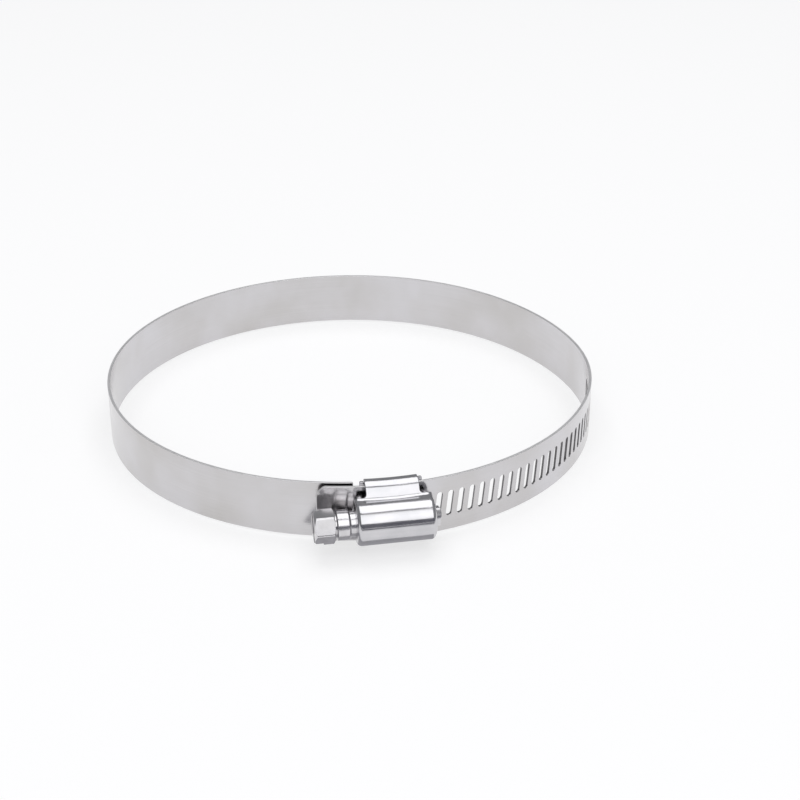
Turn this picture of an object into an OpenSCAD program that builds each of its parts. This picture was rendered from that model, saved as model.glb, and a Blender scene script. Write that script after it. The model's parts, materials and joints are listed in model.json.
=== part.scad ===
// Worm-drive hose clamp with a perforated steel band.
// The ring's axis is Z and the ring's centre is the origin. The housing is at -Y, the screw's head
// points to -X, and the slotted end of the band leaves the housing towards +X.
// A place on the ring is given as an angle from the housing's centre, positive towards +X.

/* [Ring] */
// Inner diameter of the ring, the size of the hose that it goes round
ring_d = 109; // [105:0.5:113]
// Turn of the screw away from rest, in degrees, for looking at the band in the housing
screw_angle = 0; // [-720:45:7920]

/* [Band] */
// Width of the band
band_w = 12.7; // [12:0.1:13]
// Thickness of the band
band_t = 0.6; // [0.5:0.05:0.7]
// Distance from slot to slot, which is the pitch of the worm
pitch = 2.5; // [2.4:0.05:2.6]
// Width of a slot
slot_w = 1.25; // [1.2:0.05:1.4]
// Length of a slot across the band
slot_l = 5.8; // [5:0.1:8]
// Length of the tail past the housing's centre
tail_l = 15.3; // [13:0.1:17]

/* [Housing] */
// Length of the barrel
barrel_l = 16.2; // [15:0.1:18]
// Outer diameter of the barrel
barrel_d = 9.3; // [9.2:0.1:9.8]
// Thickness of the sheet
sheet_t = 0.8; // [0.7:0.05:0.8]
// Width of the housing over its wings
housing_w = 14.7; // [14.6:0.1:15.2]
// Length of a wing along the band
wing_l = 11; // [10:0.1:12]

/* [Screw] */
// Width of the hex head across its flats
hex_af = 6.35; // [6:0.05:7]
// Length of the hex head
hex_l = 4.2; // [3.5:0.1:5]
// Diameter of the worm over its thread
worm_d = 7.4; // [7.2:0.1:7.5]
// Diameter of the collar behind the head
collar_d = 6.2; // [5.5:0.1:6.3]

/* [Hidden] */
$fn = 96;

// Layers in the housing, from the hose outwards: the band's fixed end, the saddle, the slotted end.
ring_r = ring_d / 2;                  // inner face of the ring
lip_r = ring_r + 0.25;                // inner face of the folded lips, just clear of the hose
saddle_r = lip_r + sheet_t;           // inner face of the saddle, which lies on the lips
free_r = saddle_r + band_t + 0.05;    // inner face of the slotted end
free_mid = free_r + band_t / 2;
free_out = free_r + band_t;
ring_mid = ring_r + band_t / 2;

// Screw and barrel
crest_dip = 0.5;                      // how far the thread's crest reaches into a slot
axis_r = free_out + worm_d / 2 - crest_dip;   // the screw's axis from the ring's axis
barrel_r = barrel_d / 2;
bore_r = barrel_r - sheet_t;
barrel_end = barrel_l / 2;
barrel_round = 1;
wall_drop = 0.7;                      // how far the barrel's walls go straight down from the axis
skirt_r = axis_r - 1.1;               // lowest edge of the barrel's end walls
neck_r = 2.65;
pilot_r = 2.15;
run_gap = 0.06;                       // radial clearance of the screw in the end walls
head_roll = -28;                      // turn of the hex about the screw's axis at rest
head_chamfer = 0.1;                   // how far the end face lies inside the flats
thread_h = 1;                         // height of the thread over the core
overlap = 0.2;                        // how far two turned steps of the screw run into each other

// Band along the ring
slot_step = pitch / free_mid * 180 / PI;      // angle from slot to slot
slot_lean = atan(pitch / (PI * (worm_d - crest_dip)));
first_slot = -3;
last_slot = 26;
more_slots = 5;                       // slots that go on along the first stretch
free_end = (last_slot + 0.5) * slot_step;     // where the slotted end meets the first stretch
tail_end = -tail_l / free_mid * 180 / PI;
bend = 30;                            // each of the two bends from the outer layer to the ring
level_drop = (free_mid - ring_mid) / 2;
bend_shift = level_drop / (1 - cos(bend));    // distance of each bend's centre from the ring's axis
ring_start = free_end + 2 * bend;     // from here on the band is a true circle
ring_stop = 357;                      // under the saddle, the band's fixed end
stretches = 7;
stretch_angle = (ring_stop - ring_start) / stretches;
joint_gap = 0.06;                     // between two stretches, so that they can bend

// Fixed end under the saddle
tongue_w = 9.4;
tongue_start = -7.5 / ring_mid * 180 / PI;
tongue_end = 4.2 / ring_mid * 180 / PI;
tab_l = 1.6;
tab_w = 1.8;
tab_z = 2.2;
window_l = 5.4;
window_w = tab_w + 0.4;

wing_angle = wing_l / 2 / free_mid * 180 / PI;
ear_gap = 0.15;                       // between a wing and the saddle's ear, in degrees
ear_angle = wing_angle + ear_gap;
cavity_z = housing_w / 2 - sheet_t;

// The place at angle a and distance r from the ring's axis
function around(r, a) = [r * sin(a), -r * cos(a), 0];

// A strip of the ring from angle a0 to a1, between two radii, w wide along Z
module arc_strip(r_in, r_out, a0, a1, w) {
    rotate([0, 0, a0 - 90])
        rotate_extrude(angle = a1 - a0, $fn = 180)
            translate([r_in, -w / 2])
                square([r_out - r_in, w]);
}

// A radial block at angle a, l long round the ring and w wide along Z
module radial_block(r_in, r_out, a, l, w, z = 0) {
    rotate([0, 0, a])
        translate([-l / 2, -r_out, z - w / 2])
            cube([l, r_out - r_in, w]);
}

// One obround slot through the band, leaning as the worm's thread does
module slot_cut(r, a) {
    rotate([0, 0, a])
        translate([0, -r, 0])
            rotate([90, 0, 0])
                rotate([0, 0, -slot_lean]) {
                    cube([slot_w, slot_l - slot_w, 4], center = true);
                    for (side = [-1, 1])
                        translate([0, side * (slot_l - slot_w) / 2, 0])
                            cylinder(d = slot_w, h = 4, center = true, $fn = 24);
                }
}

// Slotted end: a rigid arc in the housing's outer layer, with a chamfered tail
module band_slotted_end() {
    tail_chamfer = 1.5;               // cut off each corner of the tail, along both of its edges
    side_l = tail_chamfer * sqrt(2);
    trim = joint_gap / 2 / free_mid * 180 / PI;
    color("lightsteelblue")
        rotate([0, 0, -screw_angle / 360 * slot_step])
            difference() {
                arc_strip(free_r, free_out, tail_end, free_end - trim, band_w);
                for (k = [first_slot : last_slot])
                    slot_cut(free_mid, k * slot_step);
                for (side = [-1, 1])
                    rotate([0, 0, tail_end])
                        translate([0, -free_mid, side * band_w / 2])
                            rotate([0, 45, 0])
                                cube([side_l, 4, side_l], center = true);
            }
}

// Where stretch k of the ring lies: the centre of its arc, its middle radius, first angle and sweep
function stretch_centre(k) =
    k == 1 ? around(bend_shift, free_end) :
    k == 2 ? around(-bend_shift, ring_start) : [0, 0, 0];
function stretch_mid(k) =
    k == 1 ? free_mid - bend_shift :
    k == 2 ? ring_mid + bend_shift : ring_mid;
function stretch_start(k) =
    k < 3 ? free_end + (k - 1) * bend : ring_start + (k - 3) * stretch_angle;
function stretch_sweep(k) = k < 3 ? bend : stretch_angle;

// One stretch of the ring, a hair short at both ends
module band_stretch(k) {
    mid = stretch_mid(k);
    trim = joint_gap / 2 / mid * 180 / PI;
    color("lightsteelblue")
        translate(stretch_centre(k))
            difference() {
                arc_strip(mid - band_t / 2, mid + band_t / 2, stretch_start(k) + trim,
                          stretch_start(k) + stretch_sweep(k) - trim, band_w);
                if (k == 1)
                    for (n = [0 : more_slots - 1])
                        slot_cut(mid, free_end + (n + 0.5) * pitch / mid * 180 / PI);
            }
}

// Fixed end: the last stretch, with a narrower tongue under the saddle and two windows for its tabs
module band_fixed_end() {
    trim = joint_gap / 2 / ring_mid * 180 / PI;
    start = ring_stop - stretch_angle - 360;
    color("lightsteelblue")
        difference() {
            union() {
                arc_strip(ring_r, ring_r + band_t, start + trim, tongue_start, band_w);
                arc_strip(ring_r, ring_r + band_t, tongue_start - 1, tongue_end, tongue_w);
            }
            for (side = [-1, 1])
                radial_block(ring_r - 1, ring_r + 2, 0, window_l, window_w, side * tab_z);
        }
}

// Saddle: the plate that parts the two ends of the band, with tabs inwards and ears past the wings
module saddle() {
    plate_w = 2 * cavity_z - 0.1;
    ear_w = housing_w - 0.7;
    ear_l = 0.9;
    notch_w = 2;
    color("silver")
        union() {
            difference() {
                arc_strip(saddle_r, saddle_r + band_t, -ear_angle - ear_l, ear_angle + ear_l, ear_w);
                for (side = [-1, 1])
                    translate([0, 0, side * (plate_w + notch_w) / 2])
                        arc_strip(saddle_r - 1, saddle_r + 2, -ear_angle, ear_angle, notch_w);
            }
            for (side = [-1, 1])
                radial_block(ring_r + 0.1, saddle_r + band_t / 2, 0, tab_l, tab_w, side * tab_z);
        }
}

// Section of one wing: down from the barrel's wall, out over the band, round its edge and under it
module wing_section() {
    half = housing_w / 2;
    soft = 0.4;                       // how far the outer corners are cut back
    top = axis_r;
    slope_top = axis_r - wall_drop;   // where the wall turns outwards
    slope_foot = free_out + 1.05;     // where it turns down over the band's edge
    inner_foot = free_out + 0.15;
    polygon([
        [top, bore_r], [top, barrel_r], [slope_top, barrel_r],
        [slope_foot, half - 0.65], [slope_foot - 0.5, half - 0.15], [slope_foot - 0.95, half],
        [lip_r + 0.55, half], [lip_r + 0.2, half - 0.2], [lip_r, half - 0.55],
        [lip_r, tongue_w / 2 + 0.2], [saddle_r, tongue_w / 2 + 0.2], [saddle_r, cavity_z],
        [inner_foot, cavity_z], [slope_top - soft, bore_r]]);
}

module wing() {
    rotate([0, 0, -wing_angle - 90])
        rotate_extrude(angle = 2 * wing_angle, $fn = 180)
            wing_section();
}

// Half outline of the barrel, with round edges at both ends
module barrel_outline() {
    steps = 6;
    polygon(concat(
        [[0, -barrel_end]],
        [for (i = [0 : steps])
            [barrel_r - barrel_round + barrel_round * sin(i * 90 / steps),
             -barrel_end + barrel_round - barrel_round * cos(i * 90 / steps)]],
        [for (i = [0 : steps])
            [barrel_r - barrel_round + barrel_round * cos(i * 90 / steps),
             barrel_end - barrel_round + barrel_round * sin(i * 90 / steps)]],
        [[0, barrel_end]]));
}

// Puts a shape drawn along Z on the screw's axis, its far end towards the tip
module on_screw_axis() {
    translate([0, -axis_r, 0])
        rotate([0, 90, 0])
            children();
}

// Housing: a barrel round the worm, open towards the band, and a wing on each side
module housing() {
    inner_l = barrel_l - 2 * sheet_t;
    spare = 2;                        // height that the round cut under the barrel takes off again
    color("gainsboro") {
        difference() {
            union() {
                on_screw_axis() rotate_extrude() barrel_outline();
                translate([-barrel_end + barrel_round, -axis_r, -barrel_r])
                    cube([barrel_l - 2 * barrel_round, axis_r - skirt_r + spare, barrel_d]);
            }
            on_screw_axis() cylinder(r = bore_r, h = inner_l, center = true);
            translate([-inner_l / 2, -axis_r, -bore_r])
                cube([inner_l, barrel_d, 2 * bore_r]);
            on_screw_axis() cylinder(r = neck_r + run_gap, h = 3 * sheet_t + barrel_l, center = true);
            cylinder(r = skirt_r, h = 2 * housing_w, center = true, $fn = 180);
        }
        wing();
        mirror([0, 0, 1]) wing();
    }
}

// Worm thread: a helix swept as one closed solid, its profile a trapezoid that fades at both ends
module worm_thread(turns_before, turns_after) {
    steps = 24;
    first = -round(turns_before * steps);
    count = round(turns_after * steps) - first;
    root_r = worm_d / 2 - thread_h - 0.15;        // just inside the core
    function fade(i) = min(1, i / 8, (count - i) / 8);
    function ring_at(i) =
        let (a = (first + i) * 360 / steps,
             x = (first + i) * pitch / steps,
             crest_r = worm_d / 2 - 0.9 * (1 - fade(i)),
             profile = [[root_r, -0.65], [crest_r, -0.25], [crest_r, 0.25], [root_r, 0.65]])
        [for (p = profile) [x + p[1], p[0] * cos(a), p[0] * sin(a)]];
    points = [for (i = [0 : count]) each ring_at(i)];
    sides = [for (i = [0 : count - 1]) for (j = [0 : 3])
        let (n = (j + 1) % 4)
        each [[4 * i + j, 4 * i + n, 4 * i + 4 + n], [4 * i + j, 4 * i + 4 + n, 4 * i + 4 + j]]];
    last = 4 * count;
    polyhedron(points, concat(sides, [[3, 2, 1, 0], [last, last + 1, last + 2, last + 3]]));
}

// One turned step of the screw, from x0 to x1 along its axis
module turned(x0, x1, r0, r1) {
    translate([x0, 0, 0])
        rotate([0, 90, 0])
            cylinder(r1 = r0, r2 = r1, h = x1 - x0);
}

// Screw: slotted hex head, collar, neck, worm and a short sheared tip, in one piece
module screw() {
    hex_end = -barrel_end - 8.5;      // outer end of the head
    collar_start = hex_end + hex_l;
    collar_end = -barrel_end - 1.6;
    inner_end = barrel_end - sheet_t;
    flange_start = 0.1 - inner_end;   // the shoulder that bears on the barrel's end wall
    flange_end = flange_start + 1;
    flange_r = bore_r - 0.45;
    tip_end = barrel_end + 1.75;
    tip_round = 0.4;
    cone_l = hex_l + 3;               // long enough to clear the hex's corners
    driver_slot_w = 1.3;
    driver_slot_d = 1.8;
    core_r = worm_d / 2 - thread_h;
    color("whitesmoke")
        translate([0, -axis_r, 0])
            rotate([screw_angle, 0, 0]) {
                difference() {
                    intersection() {
                        translate([hex_end, 0, 0])
                            rotate([head_roll, 0, 0])
                                rotate([0, 90, 0])
                                    cylinder(r = hex_af / sqrt(3), h = hex_l, $fn = 6);
                        turned(hex_end, hex_end + cone_l, hex_af / 2 - head_chamfer,
                               hex_af / 2 - head_chamfer + cone_l);
                    }
                    rotate([head_roll, 0, 0])
                        translate([hex_end - 1, -driver_slot_w / 2, -hex_af])
                            cube([driver_slot_d + 1, driver_slot_w, 2 * hex_af]);
                }
                turned(collar_start - overlap, collar_end, collar_d / 2, collar_d / 2);
                turned(collar_end - overlap, flange_start + overlap, neck_r, neck_r);
                turned(flange_start, flange_end, flange_r, flange_r);
                turned(flange_end - overlap, inner_end - 0.7, core_r, core_r);
                turned(inner_end - 0.7 - overlap, barrel_end + overlap, neck_r, neck_r);
                turned(barrel_end, tip_end - tip_round, pilot_r, pilot_r);
                turned(tip_end - tip_round - 0.01, tip_end, pilot_r, pilot_r - tip_round);
                worm_thread(1.2, 2.5);
            }
}

housing();
saddle();
screw();
band_slotted_end();
band_stretch(1);  // band_stretch_1
band_stretch(2);  // band_stretch_2
band_stretch(3);  // band_stretch_3
band_stretch(4);  // band_stretch_4
band_stretch(5);  // band_stretch_5
band_stretch(6);  // band_stretch_6
band_stretch(7);  // band_stretch_7
band_stretch(8);  // band_stretch_8
band_fixed_end();
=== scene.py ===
import json
import math

import bmesh
import bpy
import numpy as np
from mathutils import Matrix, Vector, geometry


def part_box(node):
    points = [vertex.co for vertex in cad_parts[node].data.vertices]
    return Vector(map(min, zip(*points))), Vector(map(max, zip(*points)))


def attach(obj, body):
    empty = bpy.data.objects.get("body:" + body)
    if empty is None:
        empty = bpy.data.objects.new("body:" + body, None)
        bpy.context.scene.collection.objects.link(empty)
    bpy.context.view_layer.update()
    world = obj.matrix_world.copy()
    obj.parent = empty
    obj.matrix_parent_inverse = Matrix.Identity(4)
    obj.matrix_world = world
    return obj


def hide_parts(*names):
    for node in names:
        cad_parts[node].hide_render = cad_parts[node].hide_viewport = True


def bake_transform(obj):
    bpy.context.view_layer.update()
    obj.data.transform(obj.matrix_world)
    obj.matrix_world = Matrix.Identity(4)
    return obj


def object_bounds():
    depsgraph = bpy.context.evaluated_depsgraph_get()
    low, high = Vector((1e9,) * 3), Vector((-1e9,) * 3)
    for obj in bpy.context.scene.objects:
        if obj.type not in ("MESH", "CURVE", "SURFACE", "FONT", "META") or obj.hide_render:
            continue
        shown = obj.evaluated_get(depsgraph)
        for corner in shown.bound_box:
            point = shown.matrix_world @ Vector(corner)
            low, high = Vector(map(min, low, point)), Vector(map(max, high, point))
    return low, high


# A worm-drive hose clamp of bright stainless steel. The band is one strip of steel: it is built here as
# pieces that meet edge to edge, one across each of the CAD frame's flexing joints. Lengths are in
# millimetres until a mesh is made, and a place on the ring is an angle from the housing's centre.

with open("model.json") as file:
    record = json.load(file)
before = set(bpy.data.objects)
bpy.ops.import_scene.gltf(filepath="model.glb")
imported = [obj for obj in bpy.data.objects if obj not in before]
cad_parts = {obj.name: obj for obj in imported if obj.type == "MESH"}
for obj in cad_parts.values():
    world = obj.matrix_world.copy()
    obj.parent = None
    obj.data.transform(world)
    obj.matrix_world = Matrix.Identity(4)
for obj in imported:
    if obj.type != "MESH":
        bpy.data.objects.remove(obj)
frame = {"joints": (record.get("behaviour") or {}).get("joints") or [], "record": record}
cad_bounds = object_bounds()

MM = 0.001


def corner_pair(node):
    """The lowest and highest corner of a CAD node, in millimetres."""
    low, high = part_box(node)
    return np.array(low) / MM, np.array(high) / MM


joints = {j["name"]: j for j in frame["joints"]}
hinges = [np.array(joints[f"band_flex_{k}"]["pos_m"][:2]) / MM for k in range(1, 10)]
hose = next(m for m in frame["record"]["mounts"] if m["name"] == "hose")
housing_high = corner_pair("housing")[1]
saddle_low, saddle_high = corner_pair("saddle")

# Band
RING_INNER = hose["dims"]["r_mm"]
OUTER_MID = float(np.linalg.norm(hinges[0]))      # middle of the strip in the housing's outer layer
RING_MID = float(np.linalg.norm(hinges[2]))       # middle of the strip on the true ring
THICK = 2 * (RING_MID - RING_INNER)
BAND_HALF = corner_pair("band_stretch_4")[1][2]
FLEXES = len(hinges)
PITCH = 2.5
SLOT_W = 1.25
SLOT_L = 5.8
SLOT_LEAN = math.radians(6.6)
SLOTS_BEFORE = 3                                  # slots on the tail's side of the housing's centre
SLOTS_AFTER = 31
TAIL = 15.3
TAIL_CHAMFER = 1.5
TAIL_ROUND = 1.2
TONGUE_START = -7.5
TONGUE_END = 4.2
TONGUE_HALF = 4.7
TONGUE_PIECE = 19                                 # the tongue's piece starts this far before the centre
WINDOW_L = 5.4
WINDOW_W = 2.2
WINDOW_Z = 2.2
WINDOW_ROUND = 0.3
BAND_RIM = 0.13                                   # how far the strip's rolled edges are rounded
HOLE_RIM = 0.09
MESH_STEP = 1.25                                  # longest step of the mesh along the strip
HOLE_STEP = 1.3                                   # and round a hole

# Housing
AXIS = -joints["screw_turn"]["pos_m"][1] / MM     # the screw's axis from the ring's axis
BARREL_R = 4.65
BARREL_END = float(housing_high[0])
BARREL_ROUND = 1.0
NECK_HOLE = 2.71
BARREL_FOOT = 0.7                                 # the barrel's sides end this far in from its axis
SHEET = 0.8
SHEET_RIM = 0.12
WING_HALF = 5.5
WING_Z = float(housing_high[2])
WING_TOP = 2.61                                   # the wings' sides start this far in from the axis
LIP_R = RING_INNER + 0.25
LIP_Z = 4.9                                       # how near the middle the folded edge reaches
FOOT_ROUND, WING_ROUND, LIP_ROUND = 1.3, 3.0, 0.85
EAR_L = 0.88                                      # the saddle's ears, past the wings
EAR_STEP = 0.5
TAB_L = 1.6
TAB_W = 1.8
TAB_IN = RING_INNER + 0.1                         # how far in the saddle's tabs reach

# Screw
HEX_AF = 6.35
HEX_L = 4.2
HEX_ROLL = math.radians(2)                        # puts one flat 28 degrees above the horizontal
HEX_CORNER_R = 3.6
GROOVE_R = 2.5
COLLAR_R = 3.1
NECK_R = 2.65
FLANGE_R = 3.4
CORE_R = 2.7
CREST_R = 3.7
TIP_R = 2.1
TIP_END = BARREL_END + 1.35
HEAD_END = float(corner_pair("screw")[0][0])


# ---------------------------------------------------------------- curves in a plane

def unit(v):
    return v / np.maximum(np.linalg.norm(v, axis=-1, keepdims=True), 1e-12)


def rounded_path(corners, radii, step=math.radians(3)):
    """A polyline with its inner corners rounded: its points and the length along it up to each."""
    corners = [np.array(c, float) for c in corners]
    points = [corners[0]]
    for before, corner, after, radius in zip(corners, corners[1:], corners[2:], radii):
        come, leave = unit(corner - before), unit(after - corner)
        turn = math.acos(float(np.clip(come @ leave, -1, 1)))
        side = math.copysign(1, come[0] * leave[1] - come[1] * leave[0])
        reach = radius * math.tan(turn / 2)
        centre = corner - come * reach + side * radius * np.array([-come[1], come[0]])
        first = corner - come * reach - centre
        count = max(2, math.ceil(turn / step))
        for i in range(count + 1):
            a = side * turn * i / count
            c, s = math.cos(a), math.sin(a)
            points.append(centre + np.array([c * first[0] - s * first[1], s * first[0] + c * first[1]]))
    points.append(corners[-1])
    points = np.array(points)
    keep = np.r_[True, np.linalg.norm(np.diff(points, axis=0), axis=1) > 1e-6]
    points = points[keep]
    return points, np.r_[0, np.cumsum(np.linalg.norm(np.diff(points, axis=0), axis=1))]


def rounded_loop(corners, radii, step=math.radians(15)):
    """A closed outline with its corners rounded; a radius of 0 keeps the corner."""
    loop = []
    count = len(corners)
    for i in range(count):
        before, corner, after = (np.array(corners[(i + k) % count], float) for k in (-1, 0, 1))
        if radii[i] == 0:
            loop.append(corner)
            continue
        come, leave = unit(corner - before), unit(after - corner)
        reach = radii[i] * math.tan(math.acos(float(np.clip(come @ leave, -1, 1))) / 2)
        points, _ = rounded_path([corner - come * reach, corner, corner + leave * reach], [radii[i]], step)
        loop.extend(points)
    return np.array(loop)


def split_edges(loop, longest):
    """The same closed outline with no edge longer than longest."""
    out = []
    for a, b in zip(loop, np.roll(loop, -1, axis=0)):
        n = max(1, math.ceil(np.linalg.norm(b - a) / longest - 1e-9))
        out.extend(a + (b - a) * i / n for i in range(n))
    return np.array(out)


def inside(points, loops):
    """Which points lie in the region bounded by the loops, by counting crossings."""
    hit = np.zeros(len(points), bool)
    for loop in loops:
        for a, b in zip(loop, np.roll(loop, -1, axis=0)):
            spans = (a[1] > points[:, 1]) != (b[1] > points[:, 1])
            if a[1] == b[1]:
                continue
            x = a[0] + (points[:, 1] - a[1]) * (b[0] - a[0]) / (b[1] - a[1])
            hit ^= spans & (points[:, 0] < x)
    return hit


def away_from(points, loops, gap):
    """Which points are at least gap away from every edge of the loops."""
    far = np.ones(len(points), bool)
    for loop in loops:
        for a, b in zip(loop, np.roll(loop, -1, axis=0)):
            d = b - a
            t = np.clip(((points - a) @ d) / max(d @ d, 1e-12), 0, 1)
            far &= np.linalg.norm(points - a - t[:, None] * d, axis=1) > gap
    return far


# ---------------------------------------------------------------- solids made from sheet

def link(name, mesh, body=None):
    """Puts a mesh in the scene, on the body that is given."""
    obj = bpy.data.objects.new(name, mesh)
    bpy.context.scene.collection.objects.link(obj)
    if body:
        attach(obj, body)
    return obj


def shaded_mesh(name, points, faces, normals, uvs, walls):
    """A smooth mesh in metres, with a normal and a UV place for each corner of each face. walls gives the
    material number of the faces that don't take the first material."""
    mesh = bpy.data.meshes.new(name)
    mesh.from_pydata([tuple(p) for p in np.asarray(points) * MM], [], faces)
    mesh.polygons.foreach_set("use_smooth", [True] * len(mesh.polygons))
    layer = mesh.uv_layers.new(name="along_and_across")
    layer.data.foreach_set("uv", np.asarray(uvs, np.float32).ravel())
    for face, number in walls.items():
        mesh.polygons[face].material_index = number
    mesh.normals_split_custom_set([tuple(n) for n in normals])
    mesh.update()
    return mesh


def set_in(loop, inward, in_before, d1, d2):
    """The outline moved inward, by d1 at the edge after each point and by d2 at the edge before it."""
    det = inward[:, 0] * in_before[:, 1] - inward[:, 1] * in_before[:, 0]
    corner = np.abs(det) > 1e-3
    safe = np.where(corner, det, 1)
    mx = np.where(corner, (d1 * in_before[:, 1] - d2 * inward[:, 1]) / safe, inward[:, 0] * d1)
    my = np.where(corner, (inward[:, 0] * d2 - in_before[:, 0] * d1) / safe, inward[:, 1] * d1)
    return loop + np.c_[mx, my]


def fill_outlines(loops, grid):
    """Triangles over the region of the loops, as numbers into the loops' points and then the grid's."""
    edges, start = [], 0
    for loop in loops:
        n = len(loop)
        edges += [(start + i, start + (i + 1) % n) for i in range(n)]
        start += n
    found, _, triangles, origins, _, _ = geometry.delaunay_2d_cdt(
        [Vector(p) for p in np.vstack([*loops, grid])], edges, [], 0, 1e-7)
    found = np.array([tuple(v) for v in found])
    source = [min(o) for o in origins]
    middles = np.array([found[list(t)].mean(axis=0) for t in triangles])
    return [[source[v] for v in t] for t, ok in zip(triangles, inside(middles, loops)) if ok]


def sheet_solid(name, place, loops, joins, rims, lines_p, lines_q, top, bottom, wall_materials=(0, 0)):
    """A closed solid of bent sheet. loops are outlines in the flat sheet, the outer one anticlockwise and
    holes clockwise; place(flat) puts the flat sheet's points in space. Edges that lie at a length in joins
    stay sharp and flat, to meet another piece, and the others are rounded with their loop's rim radius.
    wall_materials are the material numbers of the outer wall and of the holes' walls."""
    fine = 1e-3                                   # step for slopes
    steps = 3                                     # faces round each rim
    grid_gap = 0.12                               # least distance from a grid point to an outline
    uv_scale = 0.1

    def cut_at(a, b):
        return any(abs(a[0] - v) < 1e-6 and abs(b[0] - v) < 1e-6 for v in joins)

    def normal_at(flat):
        dp = place(flat + [fine, 0]) - place(flat - [fine, 0])
        dq = place(flat + [0, fine]) - place(flat - [0, fine])
        return unit(np.cross(dp, dq)), unit(dp), unit(dq)

    points, normals, uvs, faces, flat_faces, walls = [], [], [], [], set(), {}
    count = 0
    top_ring, bottom_ring = [], []
    # The walls: round each loop, rings of points that go down over the rim, the wall and the lower rim.
    for number, (loop, rim) in enumerate(zip(loops, rims)):
        n = len(loop)
        edge = np.roll(loop, -1, axis=0) - loop
        inward = unit(np.c_[-edge[:, 1], edge[:, 0]])
        cut = np.array([cut_at(a, b) for a, b in zip(loop, np.roll(loop, -1, axis=0))])
        in_before, cut_before = np.roll(inward, 1, axis=0), np.roll(cut, 1)
        outward = -unit(inward * ~cut[:, None] + in_before * ~cut_before[:, None])
        angles = [math.pi / 2 * j / steps for j in range(steps + 1)]
        levels = [(a, 1) for a in angles] + [(a, -1) for a in reversed(angles)]
        first = count
        for angle, side in levels:
            offset = rim * (1 - math.sin(angle))
            height = top - rim * (1 - math.cos(angle)) if side > 0 else bottom + rim * (1 - math.cos(angle))
            flat = set_in(loop, inward, in_before, offset * ~cut, offset * ~cut_before)
            up, along, across = normal_at(flat)
            points.append(place(flat) + up * height)
            out3 = unit(along * outward[:, :1] + across * outward[:, 1:])
            normals.append(unit(side * math.cos(angle) * up + math.sin(angle) * out3))
            uvs.append(flat)
            if angle == 0:
                (top_ring if side > 0 else bottom_ring).append((count, flat))
            count += n
        for j in range(len(levels) - 1):
            for i in range(n):
                k = (i + 1) % n
                high, low = first + j * n, first + (j + 1) * n
                if cut[i]:
                    flat_faces.add(len(faces))
                if j >= steps or number == 0:
                    walls[len(faces)] = wall_materials[min(number, 1)]
                faces.append((low + i, low + k, high + k, high + i))
    # The top and the bottom: triangles between the rims, through a grid of points.
    inset = [flat for _, flat in top_ring]
    grid = np.array([(p, q) for p in lines_p for q in lines_q], float)
    grid = grid[inside(grid, inset)]
    grid = grid[away_from(grid, inset, grid_gap)]
    triangles = fill_outlines(inset, grid)
    up = normal_at(grid)[0]
    for rings, height, side in ((top_ring, top, 1), (bottom_ring, bottom, -1)):
        index = []
        for begin, flat in rings:
            index += range(begin, begin + len(flat))
        index += range(count, count + len(grid))
        points.append(place(grid) + up * height)
        normals.append(side * up)
        uvs.append(grid)
        count += len(grid)
        for t in triangles:
            face = [index[v] for v in t]
            faces.append(tuple(face if side > 0 else reversed(face)))
    points, normals, uvs = np.vstack(points), np.vstack(normals), np.vstack(uvs)
    corner_normals = []
    for number, face in enumerate(faces):
        if number in flat_faces:
            a, b, c = (points[face[k]] for k in (0, 1, 2))
            flat_normal = unit(np.cross(b - a, c - b))
            corner_normals += [flat_normal] * len(face)
        else:
            corner_normals += [normals[v] for v in face]
    corner_uvs = [uvs[v] * uv_scale for face in faces for v in face]
    return shaded_mesh(name, points, faces, corner_normals, corner_uvs, walls)


def even_lines(start, stop, longest):
    """Values strictly between start and stop, no further apart than longest."""
    n = max(1, math.ceil(abs(stop - start) / longest))
    return [start + (stop - start) * i / n for i in range(1, n)]


# ---------------------------------------------------------------- band

def ring_angle(point):
    """A point's angle round the ring, from the housing's centre."""
    return math.atan2(point[0], -point[1]) % (2 * math.pi)


def band_arcs():
    """The strip's middle line as arcs: (length at its start, centre, radius, angle at its start)."""
    bend_start, ring_start = ring_angle(hinges[0]), ring_angle(hinges[2])
    bend = (ring_start - bend_start) / 2
    shift = (OUTER_MID - RING_MID) / 2 / (1 - math.cos(bend))
    heading = lambda a: np.array([math.sin(a), -math.cos(a)])
    radii = [OUTER_MID, OUTER_MID - shift, RING_MID + shift, RING_MID]
    centres = [np.zeros(2), heading(bend_start) * shift, heading(ring_start) * -shift, np.zeros(2)]
    starts = [0, bend_start, bend_start + bend, ring_start]
    lengths = [0]
    for radius, a, b in zip(radii, starts, starts[1:]):
        lengths.append(lengths[-1] + radius * (b - a))
    return list(zip(lengths, centres, radii, starts))


ARCS = band_arcs()


def on_band(flat):
    """Puts points (length along the strip, height across it) on the strip's middle surface."""
    s, z = flat[:, 0], flat[:, 1]
    out = np.zeros((len(flat), 3))
    which = np.clip(np.searchsorted([a[0] for a in ARCS], s, side="right") - 1, 0, None)
    for k, (start, centre, radius, angle) in enumerate(ARCS):
        here = which == k
        a = angle + (s[here] - start) / radius
        out[here] = np.c_[centre[0] + radius * np.sin(a), centre[1] - radius * np.cos(a), z[here]]
    return out


def hinge_lengths():
    """Where each flexing joint lies, as a length along the strip."""
    lengths = [ARCS[1][0], ARCS[2][0]]
    for point in hinges[2:]:
        turn = (ring_angle(point) - ARCS[3][3]) % (2 * math.pi)
        lengths.append(ARCS[3][0] + RING_MID * turn)
    return lengths


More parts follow.
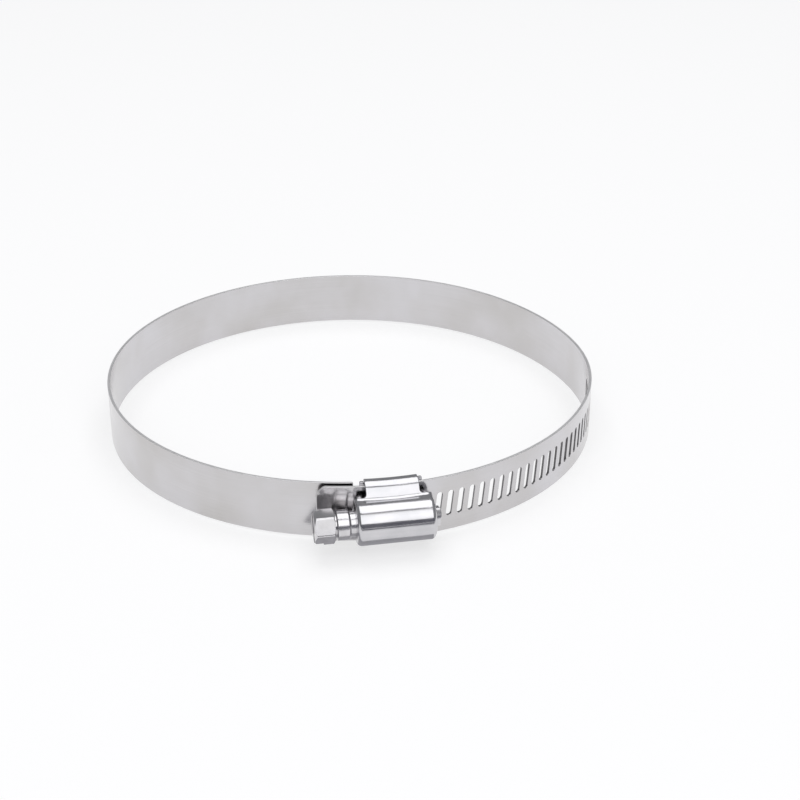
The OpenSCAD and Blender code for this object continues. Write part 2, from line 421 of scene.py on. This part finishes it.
def slot_loop(s):
    """Outline of one slot, clockwise, leaning as the worm's thread does."""
    half = SLOT_L / 2 - SLOT_W / 2
    arc = [math.pi * i / 8 for i in range(9)]
    loop = [(SLOT_W / 2 * math.cos(a), half + SLOT_W / 2 * math.sin(a)) for a in arc]
    loop += [(SLOT_W / 2 * math.cos(a + math.pi), -half + SLOT_W / 2 * math.sin(a + math.pi)) for a in arc]
    c, n = math.cos(SLOT_LEAN), math.sin(SLOT_LEAN)
    turned = [(s + x * c + z * n, -x * n + z * c) for x, z in loop]
    return split_edges(np.array(turned), HOLE_STEP)[::-1]


def band_piece(name, start, stop, holes=(), outline=None):
    """A length of the strip, flat at the ends where it meets its neighbours."""
    if outline is None:
        outline = [(start, -BAND_HALF), (stop, -BAND_HALF), (stop, BAND_HALF), (start, BAND_HALF)]
    joins = [v for v in (start, stop) if v is not None]
    outer = split_edges(np.array(outline, float), MESH_STEP)
    low, high = outer[:, 0].min(), outer[:, 0].max()
    lines_z = [BAND_HALF * k / 5 for k in range(-4, 5)]
    return sheet_solid(name, on_band, [outer, *holes], joins, [BAND_RIM] + [HOLE_RIM] * len(holes),
                       even_lines(low, high, MESH_STEP), lines_z, THICK / 2, -THICK / 2, (2, 1))


def tail_outline(stop):
    c = TAIL_CHAMFER
    square = [(-TAIL, -BAND_HALF + c), (-TAIL + c, -BAND_HALF), (stop, -BAND_HALF),
              (stop, BAND_HALF), (-TAIL + c, BAND_HALF), (-TAIL, BAND_HALF - c)]
    return rounded_loop(square, [TAIL_ROUND, TAIL_ROUND, 0, 0, TAIL_ROUND, TAIL_ROUND])


def tongue_outline(start, centre):
    first, last = centre + TONGUE_START, centre + TONGUE_END
    corners = [(start, -BAND_HALF), (first, -BAND_HALF), (first, -TONGUE_HALF), (last, -TONGUE_HALF),
               (last, TONGUE_HALF), (first, TONGUE_HALF), (first, BAND_HALF), (start, BAND_HALF)]
    return rounded_loop(corners, [0, 0.4, 0.4, 0.5, 0.5, 0.4, 0.4, 0])


def window_loop(s, z):
    """Outline of one window for a tab of the saddle, clockwise."""
    corners = [(-WINDOW_L / 2, -WINDOW_W / 2), (-WINDOW_L / 2, WINDOW_W / 2),
               (WINDOW_L / 2, WINDOW_W / 2), (WINDOW_L / 2, -WINDOW_W / 2)]
    loop = rounded_loop([(s + x, z + across) for x, across in corners], [WINDOW_ROUND] * 4)
    return split_edges(loop, HOLE_STEP)


def make_band(materials):
    """The strip in pieces. The materials are for its faces, the walls of its holes and its two edges; the
    holes' walls carry painted shade and the edges a painted highlight.
    """
    slots = {k * PITCH: slot_loop(k * PITCH) for k in range(-SLOTS_BEFORE, SLOTS_AFTER + 1)}
    hinge_s = hinge_lengths()
    loop_end = ARCS[3][0] + RING_MID * (2 * math.pi - ARCS[3][3])     # under the housing's centre
    middles = [(a + b) / 2 for a, b in zip(hinge_s, hinge_s[1:])]
    cuts = [hinge_s[0] - 2 * PITCH, *middles, loop_end - TONGUE_PIECE]

    def slots_between(a, b):
        return [loop for s, loop in slots.items() if a < s < b]

    tail = link("band_tail", band_piece("band_tail", None, cuts[0], slots_between(-TAIL, cuts[0]),
                                        tail_outline(cuts[0])), "slotted_end")
    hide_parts("band_slotted_end")
    pieces = [tail]
    for k, (a, b) in enumerate(zip(cuts, cuts[1:])):
        name = f"band_run_{k + 1}"
        piece = link(name, band_piece(name, a, b, slots_between(a, b)))
        ends = on_band(np.array([[a, 0.0], [b, 0.0]])) * MM
        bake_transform(piece)
        if k < FLEXES - 1:
            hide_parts(f"band_stretch_{k + 1}")
        pieces.append(piece)
    windows = [window_loop(loop_end, side * WINDOW_Z) for side in (-1, 1)]
    end = link("band_tongue", band_piece("band_tongue", cuts[-1], None, windows,
                                         tongue_outline(cuts[-1], loop_end)), "fixed_end")
    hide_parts("band_fixed_end")
    pieces.append(end)
    for piece in pieces:
        for material in materials:
            piece.data.materials.append(material)


# ---------------------------------------------------------------- housing

def housing_section():
    """Half the housing's outer section, from the barrel's top to the curled edge under the band:
    distance from the ring's axis, height along Z, and the outward normal, against length."""
    corners = [(AXIS + BARREL_R, 0), (AXIS + BARREL_R, BARREL_R), (AXIS - BARREL_FOOT, BARREL_R),
               (AXIS - WING_TOP, WING_Z), (LIP_R, WING_Z), (LIP_R, LIP_Z)]
    points, length = rounded_path(corners, [BARREL_R, FOOT_ROUND, WING_ROUND, LIP_ROUND])
    tangent = unit(np.gradient(points, length, axis=0))
    normal = np.c_[tangent[:, 1], -tangent[:, 0]]
    normal[0] = (1, 0)                            # the section meets its mirror image at the barrel's top
    return length, points, normal


def barrel_profile():
    """Half the barrel's outline along the screw's axis: place along X and depth below the surface."""
    return rounded_path([(0, 0), (BARREL_END, 0), (BARREL_END, BARREL_R - NECK_HOLE)], [BARREL_ROUND])


def make_housing(material):
    """One sheet drawn into a barrel with rounded ends, and two wings folded under the band's edges. In the
    flat sheet p runs along the screw and q across the band, both from the barrel's top."""
    length, section, normal = housing_section()
    profile, profile_length = barrel_profile()
    reach = profile_length[-1]

    def place(flat):
        p, q = flat[:, 0], flat[:, 1]
        side_p, side_q = np.sign(p), np.sign(q)
        x = np.interp(np.abs(p), profile_length, profile[:, 0])
        depth = np.interp(np.abs(p), profile_length, profile[:, 1])
        r, z, nr, nz = (np.interp(np.abs(q), length, v) for v in (*section.T, *normal.T))
        r, z = r - depth * nr, z - depth * nz
        t = np.clip((AXIS - r) / BARREL_FOOT, 0, 1)
        follow = t * t * (3 - 2 * t)              # below the barrel the rows follow the ring
        y = -(r - follow * (r - np.sqrt(r * r - x * x)))
        return np.c_[side_p * x, y, side_q * z]

    q_axis = BARREL_R * math.pi / 2
    q_skirt = q_axis + 1.0                        # where the barrel's ends stop and the wings' start
    q_end = length[-1]
    corners = [(WING_HALF, -q_end), (WING_HALF, -q_skirt), (reach, -q_skirt),
               (reach, q_skirt), (WING_HALF, q_skirt), (WING_HALF, q_end)]
    corners += [(-p, -q) for p, q in corners]
    outline = rounded_loop(corners, [0.5, 0.8, 0.3, 0.3, 0.8, 0.5] * 2, math.radians(12))
    outline = split_edges(outline, 0.7)
    foot = 1.6                                    # length of the bend from the barrel to a wing
    spans = [(0, q_axis, 16), (q_axis, foot, 12), (q_axis + foot, q_end - q_axis - foot, 34)]
    lines_q = [begin + span * k / count for begin, span, count in spans for k in range(count)]
    lines_q = sorted({round(v, 6) for v in lines_q} | {round(-v, 6) for v in lines_q})
    straight = BARREL_END - BARREL_ROUND
    bend = BARREL_ROUND * math.pi / 2
    lines_p = [straight * k / 7 for k in range(8)]
    lines_p += [straight + bend * k / 7 for k in range(1, 8)]
    lines_p += even_lines(straight + bend, reach, 0.35)
    lines_p = sorted({round(v, 6) for v in lines_p} | {round(-v, 6) for v in lines_p})
    mesh = sheet_solid("housing_shell", place, [outline], [], [SHEET_RIM], lines_p, lines_q, 0, -SHEET)
    mesh.materials.append(material)
    shell = link("housing_shell", mesh, "housing")
    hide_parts("housing")


def make_saddle(material):
    """The plate between the two ends of the band, with ears past the wings and tabs into the windows."""
    outer = -float(saddle_low[1])
    middle = outer - THICK / 2
    ear_end = middle * math.asin(float(saddle_high[0]) / outer)
    ear_start = ear_end - EAR_L
    wide = float(saddle_high[2])
    narrow = wide - EAR_STEP
    half = [(ear_start, -narrow), (ear_start, -wide), (ear_end, -wide), (ear_end, wide),
            (ear_start, wide), (ear_start, narrow)]
    corners = half + [(-p, -q) for p, q in half]
    outline = split_edges(rounded_loop(corners, [0.15, 0.2, 0.3, 0.3, 0.2, 0.15] * 2), 1.0)

    def place(flat):
        a = flat[:, 0] / middle
        return np.c_[middle * np.sin(a), -middle * np.cos(a), flat[:, 1]]

    mesh = sheet_solid("saddle_plate", place, [outline], [], [SHEET_RIM],
                       even_lines(-ear_end, ear_end, 0.8), even_lines(-wide, wide, 1.2),
                       THICK / 2, -THICK / 2)
    saddle = link("saddle_plate", mesh)
    for side in (-1, 1):
        tab = rounded_block("tab", (-TAB_L / 2, -middle, side * WINDOW_Z - TAB_W / 2),
                            (TAB_L / 2, -TAB_IN, side * WINDOW_Z + TAB_W / 2), 0.2)
        apply_boolean(saddle, tab, "UNION")
    finish_solid(saddle, "saddle_plate", material)
    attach(saddle, "housing")
    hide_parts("saddle")


# ---------------------------------------------------------------- screw

def sheared(x, r, a):
    """Makes the tip uneven, as if it had been sheared off."""
    if x < BARREL_END + 0.6:
        return x, r
    return x - 0.15 + 0.14 * math.sin(3 * a + 1) * r / TIP_R, r * (
        0.93 + 0.05 * math.sin(2 * a) + 0.02 * math.sin(7 * a + 2))


def tube_faces(rings, segments):
    """Faces of a tube of rings of points, closed by one point before the rings and one after them."""
    faces = []
    for i in range(segments):
        k = (i + 1) % segments
        faces.append((0, 1 + k, 1 + i))
        for j in range(rings - 1):
            a, b = 1 + j * segments, 1 + (j + 1) * segments
            faces.append((a + i, a + k, b + k, b + i))
        last = 1 + (rings - 1) * segments
        faces.append((last + segments, last + i, last + k))
    return faces


def lathe(name, corners):
    """A closed solid turned about the screw's axis from corners (x, radius, rounding)."""
    segments = 96
    roundings = [c[2] for c in corners[1:-1]]
    points, _ = rounded_path([c[:2] for c in corners], roundings, math.radians(15))
    verts = [(points[0][0], 0, 0)]
    for x, r in points[1:-1]:
        for a in (2 * math.pi * i / segments for i in range(segments)):
            px, pr = sheared(x, r, a)
            verts.append((px, pr * math.cos(a), pr * math.sin(a)))
    verts.append((points[-1][0], 0, 0))
    return plain_mesh(name, verts, tube_faces(len(points) - 2, segments))


def plain_mesh(name, verts, faces):
    """A mesh in metres, moved out to the screw's axis."""
    mesh = bpy.data.meshes.new(name)
    mesh.from_pydata([(x * MM, (y - AXIS) * MM, z * MM) for x, y, z in verts], [], faces)
    mesh.update()
    return link(name, mesh)


BOX_FACES = [(0, 1, 3, 2), (4, 6, 7, 5), (0, 4, 5, 1), (2, 3, 7, 6), (0, 2, 6, 4), (1, 5, 7, 3)]


def rounded_block(name, low, high, radius):
    """A block between two corners, with all its edges rounded."""
    verts = [(x, y + AXIS, z)                     # plain_mesh takes AXIS off again
             for x in (low[0], high[0]) for y in (low[1], high[1]) for z in (low[2], high[2])]
    obj = plain_mesh(name, verts, BOX_FACES)
    bevel = obj.modifiers.new("edges", "BEVEL")
    bevel.width = radius * MM
    bevel.segments = 3
    replace_by_result(obj)
    return obj


def hex_head():
    """The hex prism, with both ends turned to a chamfer, which leaves an arc on each flat."""
    segments = 240
    outer_slope, inner_slope = 0.75, 0.5          # length of each end's chamfer against its depth
    face_r = HEX_AF / 2 - 0.12
    flat_r = lambda a: HEX_AF / 2 / math.cos((a - HEX_ROLL) % (math.pi / 3) - math.pi / 6)
    radius = lambda a: min(flat_r(a), HEX_CORNER_R)
    rows = [lambda a: (0.0, face_r),
            lambda a: (outer_slope * (radius(a) - face_r), radius(a)),
            lambda a: (HEX_L - inner_slope * (radius(a) - face_r), radius(a)),
            lambda a: (HEX_L, face_r)]
    verts = [(HEAD_END, 0, 0)]
    angles = [HEX_ROLL + 2 * math.pi * i / segments for i in range(segments)]
    for row in rows:
        for a in angles:
            x, r = row(a)
            verts.append((HEAD_END + x, r * math.cos(a), r * math.sin(a)))
    verts.append((HEAD_END + HEX_L, 0, 0))
    return plain_mesh("hex_head", verts, tube_faces(len(rows), segments))


def driver_slot():
    """The block that is cut out of the head's end for a screwdriver, parallel to two of the flats."""
    half_w, depth, reach = 0.65, 1.8, HEX_AF
    roll = HEX_ROLL + math.radians(150)
    c, s = math.cos(roll), math.sin(roll)
    verts = [(HEAD_END + x, y * c - z * s, y * s + z * c)
             for x in (-1, depth) for y in (-half_w, half_w) for z in (-reach, reach)]
    return plain_mesh("driver_slot", verts, BOX_FACES)


def worm_thread():
    """The worm: a helix with a trapezoid profile that sinks into the core at both ends."""
    turns_before, turns_after, steps = 1.2, 2.5, 48
    root_half, shoulder_half, crest_half = 0.68, 0.3, 0.18
    chamfer, sink = 0.12, 1.15
    root_r = CORE_R - 0.2
    first = -round(turns_before * steps)
    count = round(turns_after * steps) - first
    verts, faces = [], []
    for i in range(count + 1):
        fade = min(1, 4 * i / steps, 4 * (count - i) / steps)
        crest = CREST_R - sink * (1 - math.sin(fade * math.pi / 2))
        a = 2 * math.pi * (first + i) / steps
        x = PITCH * (first + i) / steps
        profile = [(root_r, -root_half), (crest - chamfer, -shoulder_half), (crest, -crest_half),
                   (crest, crest_half), (crest - chamfer, shoulder_half), (root_r, root_half)]
        verts += [(x + w, r * math.cos(a), r * math.sin(a)) for r, w in profile]
    n = len(profile)
    for i in range(count):
        for j in range(n):
            k = (j + 1) % n
            faces.append((n * i + j, n * i + k, n * (i + 1) + k, n * (i + 1) + j))
    faces.append(tuple(reversed(range(n))))
    faces.append(tuple(n * count + j for j in range(n)))
    return plain_mesh("worm_thread", verts, faces)


def apply_boolean(obj, other, operation):
    """Joins other to obj, or cuts it from obj, and removes other."""
    modifier = obj.modifiers.new("shape", "BOOLEAN")
    modifier.operation = operation
    modifier.solver = "MANIFOLD"
    modifier.object = other
    replace_by_result(obj)
    bpy.data.objects.remove(other)


def replace_by_result(obj):
    """Gives obj the mesh that its modifiers make, and drops them."""
    depsgraph = bpy.context.evaluated_depsgraph_get()
    mesh = bpy.data.meshes.new_from_object(obj.evaluated_get(depsgraph))
    obj.modifiers.clear()
    obj.data = mesh


def finish_solid(obj, name, material):
    """Names a joined solid, drops its degenerate faces and shades it smooth, with flats and sharp edges."""
    obj.name = name
    obj.data.name = name
    cleaned = bmesh.new()
    cleaned.from_mesh(obj.data)
    bmesh.ops.dissolve_degenerate(cleaned, dist=1e-6, edges=cleaned.edges)
    cleaned.to_mesh(obj.data)
    cleaned.free()
    obj.data.polygons.foreach_set("use_smooth", [True] * len(obj.data.polygons))
    obj.data.set_sharp_from_angle(angle=math.radians(32))
    weighted = obj.modifiers.new("flats", "WEIGHTED_NORMAL")
    weighted.keep_sharp = True
    obj.data.materials.clear()
    obj.data.materials.append(material)


def make_screw(material):
    """Head, groove, collar, neck, shoulder, worm and tip, joined into one closed solid."""
    screw = hex_head()
    apply_boolean(screw, driver_slot(), "DIFFERENCE")
    groove = HEAD_END + HEX_L
    collar_end = -BARREL_END - 1.2
    inner_end = BARREL_END - SHEET
    corners = [                                   # place along the screw, radius, rounding
        (groove - 0.6, 0, 0), (groove - 0.6, GROOVE_R, 0),
        (groove + 0.35, GROOVE_R, 0.12), (groove + 0.5, COLLAR_R, 0.15),
        (collar_end - 0.3, COLLAR_R, 0.15), (collar_end, NECK_R, 0.3),
        (-inner_end + 0.1, NECK_R, 0.1), (-inner_end + 0.1, FLANGE_R, 0.05),
        (-inner_end + 1.0, FLANGE_R, 0.2), (-inner_end + 1.4, CORE_R, 0.2),
        (inner_end - 0.8, CORE_R, 0.1), (inner_end - 0.75, NECK_R, 0.02),
        (BARREL_END + 0.15, NECK_R, 0.02), (BARREL_END + 0.2, TIP_R, 0.1),
        (TIP_END, TIP_R, 0.05), (TIP_END, 0, 0)]
    apply_boolean(screw, lathe("shank", corners), "UNION")
    apply_boolean(screw, worm_thread(), "UNION")
    finish_solid(screw, "hex_screw", material)
    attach(screw, "screw")
    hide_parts("screw")


# ---------------------------------------------------------------- materials

def node(tree, kind, **inputs):
    """A shader node with its inputs set; an input is a value or another node's output socket."""
    made = tree.nodes.new(kind)
    for name, value in inputs.items():
        socket = made.inputs[name.replace("_", " ")]
        if isinstance(value, bpy.types.NodeSocket):
            tree.links.new(value, socket)
        else:
            socket.default_value = value
    return made


def stretched(tree, coordinates, scale):
    """Coordinates scaled by a different amount on each axis, which draws noise out into streaks."""
    mapping = node(tree, "ShaderNodeMapping", Vector=coordinates)
    mapping.inputs["Scale"].default_value = scale
    return mapping.outputs["Vector"]


def noise(tree, vector, scale, detail, roughness):
    """The grey output of a noise texture."""
    made = node(tree, "ShaderNodeTexNoise", Vector=vector, Scale=scale, Detail=detail, Roughness=roughness)
    return made.outputs["Fac"]


def ramp(tree, value, stops):
    """Maps a value to a colour through stops of (place, grey or RGB)."""
    made = node(tree, "ShaderNodeValToRGB", Fac=value)
    elements = made.color_ramp.elements
    while len(elements) < len(stops):
        elements.new(0.5)
    for element, (place, colour) in zip(elements, stops):
        element.position = place
        rgb = (colour,) * 3 if isinstance(colour, (int, float)) else colour
        element.color = (*rgb, 1)
    return made.outputs["Color"]


def steel(name, colours, roughness, streak_scale, streak_depth, mottle_scale, use_uv, anisotropic):
    """Bright stainless steel: colours drift between two tones, roughness varies in soft patches, and fine
    streaks run one way."""
    material = bpy.data.materials.new(name)
    material.use_nodes = True
    tree = material.node_tree
    tree.nodes.clear()
    place = node(tree, "ShaderNodeTexCoord")
    flat = place.outputs["UV"] if use_uv else place.outputs["Object"]
    solid = place.outputs["Object"]
    streaks = noise(tree, stretched(tree, flat, streak_scale), 1.0, 4.0, 0.6)
    patches = noise(tree, solid, mottle_scale, 3.0, 0.5)
    tint = ramp(tree, patches, [(0.3, colours[0]), (0.7, colours[1])])
    fine = ramp(tree, streaks, [(0.25, 0.93), (0.75, 1.0)])
    colour = node(tree, "ShaderNodeMix")
    colour.data_type = "RGBA"
    colour.blend_type = "MULTIPLY"
    colour.inputs["Factor"].default_value = 1.0
    tree.links.new(tint, colour.inputs[6])        # inputs 6 and 7 are the two colours
    tree.links.new(fine, colour.inputs[7])
    smudge = node(tree, "ShaderNodeMapRange", Value=patches)
    smudge.inputs["To Min"].default_value = roughness[0]
    smudge.inputs["To Max"].default_value = roughness[1]
    bump = node(tree, "ShaderNodeBump", Height=streaks, Strength=streak_depth, Distance=0.00002)
    shader = node(tree, "ShaderNodeBsdfPrincipled", Metallic=1.0, Roughness=smudge.outputs["Result"],
                  Normal=bump.outputs["Normal"], Anisotropic=anisotropic)
    tree.links.new(colour.outputs[2], shader.inputs["Base Color"])
    if use_uv:
        tangent = tree.nodes.new("ShaderNodeTangent")
        tangent.direction_type = "UV_MAP"
        tangent.uv_map = "along_and_across"
        tree.links.new(tangent.outputs["Tangent"], shader.inputs["Tangent"])
    output = tree.nodes.new("ShaderNodeOutputMaterial")
    tree.links.new(shader.outputs["BSDF"], output.inputs["Surface"])
    return material


# ---------------------------------------------------------------- studio

def matt(name, colour, glow):
    """A matt surface that also gives off a little light, as a light table does, which softens shadows."""
    material = bpy.data.materials.new(name)
    material.use_nodes = True
    shader = material.node_tree.nodes["Principled BSDF"]
    shader.inputs["Base Color"].default_value = (*colour, 1)
    shader.inputs["Roughness"].default_value = 0.9
    shader.inputs["Specular IOR Level"].default_value = 0.1
    shader.inputs["Emission Color"].default_value = (1, 1, 1, 1)
    shader.inputs["Emission Strength"].default_value = glow
    return material


def glowing(name, colour):
    """A card's material: it shows one brightness however it is lit."""
    material = bpy.data.materials.new(name)
    material.use_nodes = True
    tree = material.node_tree
    tree.nodes.clear()
    emission = node(tree, "ShaderNodeEmission", Color=(*colour, 1), Strength=1.0)
    output = tree.nodes.new("ShaderNodeOutputMaterial")
    tree.links.new(emission.outputs["Emission"], output.inputs["Surface"])
    return material


def card(name, centre, width, height, facing, material):
    """A flat rectangle facing a point, seen only in reflections."""
    w, h = width / 2, height / 2
    mesh = bpy.data.meshes.new(name)
    mesh.from_pydata([(-w, -h, 0), (w, -h, 0), (w, h, 0), (-w, h, 0)], [], [(0, 1, 2, 3)])
    obj = link(name, mesh)
    obj.location = centre
    obj.rotation_euler = (Vector(facing) - Vector(centre)).to_track_quat("Z", "Y").to_euler()
    obj.data.materials.append(material)
    obj.visible_camera = False
    obj.visible_diffuse = False
    obj.visible_shadow = False
    return obj


def softbox(name, centre, size, power):
    """A large white area light that points at the clamp."""
    light = bpy.data.lights.new(name, "AREA")
    light.shape = "RECTANGLE"
    light.size, light.size_y = size
    light.energy = power
    obj = bpy.data.objects.new(name, light)
    bpy.context.scene.collection.objects.link(obj)
    obj.location = centre
    obj.rotation_euler = (-Vector(centre)).to_track_quat("-Z", "Y").to_euler()
    return obj


def make_studio():
    """A pale floor, two softboxes, and the cards that the bright steel reflects."""
    floor_z = cad_bounds[0][2] - 0.00005          # just under the clamp
    half = 4.0
    mesh = bpy.data.meshes.new("floor")
    mesh.from_pydata([(-half, -half, 0), (half, -half, 0), (half, half, 0), (-half, half, 0)], [],
                     [(0, 1, 2, 3)])
    floor = link("floor", mesh)
    floor.location = (0, 0, floor_z)
    floor.data.materials.append(matt("pale_floor", (0.45, 0.45, 0.455), 0.62))

    world = bpy.data.worlds.new("studio")
    bpy.context.scene.world = world
    world.use_nodes = True
    world.node_tree.nodes["Background"].inputs["Color"].default_value = (0.96, 0.97, 1.0, 1)
    world.node_tree.nodes["Background"].inputs["Strength"].default_value = 0.3

    # The bright bands on the barrel are these two lights, and the thin dark line is the gap between them.
    softbox("light_above", (0.05, 0.2, 1.28), (1.3, 1.1), 6.7)
    softbox("light_front", (-0.1, -0.95, 0.93), (1.5, 1.07), 6.8)
    # The dark band below them is the horizon card and a painted reflection: a dark card on the floor in
    # front, where the camera sees pale floor; the last card greys the underside with a painted shadow of
    # the floor under the housing.
    dark = glowing("card_grey_and_painted_reflection", (0.15, 0.15, 0.175))
    pale = glowing("card_painted_shadow_grey", (0.42, 0.42, 0.44))
    low = floor_z + 0.0003
    card("card_horizon", (0.0, -1.3, 0.22), 3.0, 0.5, (0, 0, 0.03), dark)
    # Painted reflection and painted shadow: these two cards lie on a floor that is pale there, and only the
    # steel sees them.
    card("card_painted_reflection_low", (0.02, -0.18, low), 0.26, 0.146, (0.02, -0.18, 1), dark)
    card("card_painted_shadow_under", (-0.006, -0.062, low), 0.03, 0.008, (-0.006, -0.062, 1), pale)


def make_camera():
    """The camera looks down at the clamp from the front, a little from the head's side."""
    azimuth, elevation = math.radians(-10.87), math.radians(26.83)
    distance, right_shift, up_shift = 378.0, 12.4, -2.4
    right = Vector((math.cos(azimuth), math.sin(azimuth), 0))
    forward = Vector((-math.sin(azimuth) * math.cos(elevation), math.cos(azimuth) * math.cos(elevation),
                      -math.sin(elevation)))
    up = right.cross(forward)
    data = bpy.data.cameras.new("camera")
    data.sensor_width = 36
    data.lens = 72.43
    data.clip_start = 0.01
    camera = bpy.data.objects.new("camera", data)
    bpy.context.scene.collection.objects.link(camera)
    camera.location = (right * right_shift + up * up_shift - forward * distance) * MM
    camera.rotation_euler = forward.to_track_quat("-Z", "Y").to_euler()
    bpy.context.scene.camera = camera


# ---------------------------------------------------------------- the whole

band_steel = steel(
    "band_steel", colours=[(0.57, 0.555, 0.55), (0.66, 0.65, 0.67)], roughness=(0.12, 0.2),
    streak_scale=(0.25, 55, 1), streak_depth=0.3, mottle_scale=60, use_uv=True, anisotropic=0.4)
# The holes' walls: rougher steel, and a very dark colour that is painted shade inside the slots.
rough_slot_wall_painted_shade = steel(
    "rough_slot_wall_painted_shade", colours=[(0.16, 0.155, 0.16), (0.24, 0.235, 0.24)], roughness=(0.35, 0.5),
    streak_scale=(5, 5, 5), streak_depth=0.3, mottle_scale=300, use_uv=False, anisotropic=0.0)
# The strip's cut edges: rougher steel, and a lighter colour that is a painted highlight along the edges.
rough_edge_painted_highlight = steel(
    "rough_edge_painted_highlight", colours=[(0.74, 0.735, 0.74), (0.8, 0.795, 0.8)], roughness=(0.5, 0.6),
    streak_scale=(5, 5, 5), streak_depth=0.3, mottle_scale=300, use_uv=False, anisotropic=0.0)
housing_steel = steel(
    "housing_steel", colours=[(0.57, 0.57, 0.59), (0.65, 0.64, 0.66)], roughness=(0.12, 0.2),
    streak_scale=(60, 900, 900), streak_depth=0.9, mottle_scale=220, use_uv=False, anisotropic=0.0)
screw_steel = steel(
    "screw_steel", colours=[(0.60, 0.59, 0.60), (0.70, 0.69, 0.71)], roughness=(0.14, 0.26),
    streak_scale=(900, 500, 500), streak_depth=0.25, mottle_scale=350, use_uv=False, anisotropic=0.0)

make_band([band_steel, rough_slot_wall_painted_shade, rough_edge_painted_highlight])
make_housing(housing_steel)
make_saddle(housing_steel)
make_screw(screw_steel)

bpy.context.scene.view_settings.view_transform = "Standard"
make_studio()
make_camera()
